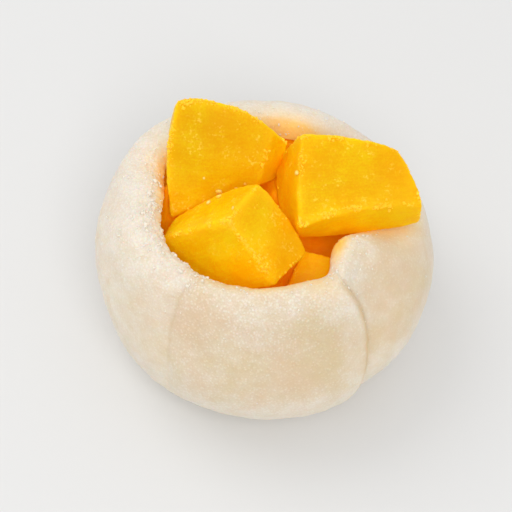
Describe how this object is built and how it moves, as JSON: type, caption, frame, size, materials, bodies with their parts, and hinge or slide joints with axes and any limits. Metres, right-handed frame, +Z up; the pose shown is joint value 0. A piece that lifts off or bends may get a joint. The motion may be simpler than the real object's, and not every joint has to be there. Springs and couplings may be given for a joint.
{
  "type": "mango mochi",
  "caption": "Soft round rice-dough sweet, open at the top like a bowl, with cut chunks of ripe mango piled in the hollow and leaning over its rolled rim",
  "frame": {"origin": "middle of the flat foot that the sweet rests on", "axes": "+Z up through the open top; -Y towards the front, where the broad lobe of dough laps over its right-hand neighbour; +X to the right"},
  "size_m": [0.0616, 0.0588, 0.046],
  "materials": {
    "rice_dough": "soft, dusted with starch",
    "mango": "wet, translucent fruit",
    "mango_pulp": "wet, deep orange fruit"
  },
  "bodies": {
    "root": {"mochi_skin": "rice_dough", "mango_left": "mango", "mango_right": "mango", "mango_front": "mango", "mango_low": "mango", "mango_bed": "mango_pulp"}
  },
  "joints": []
}
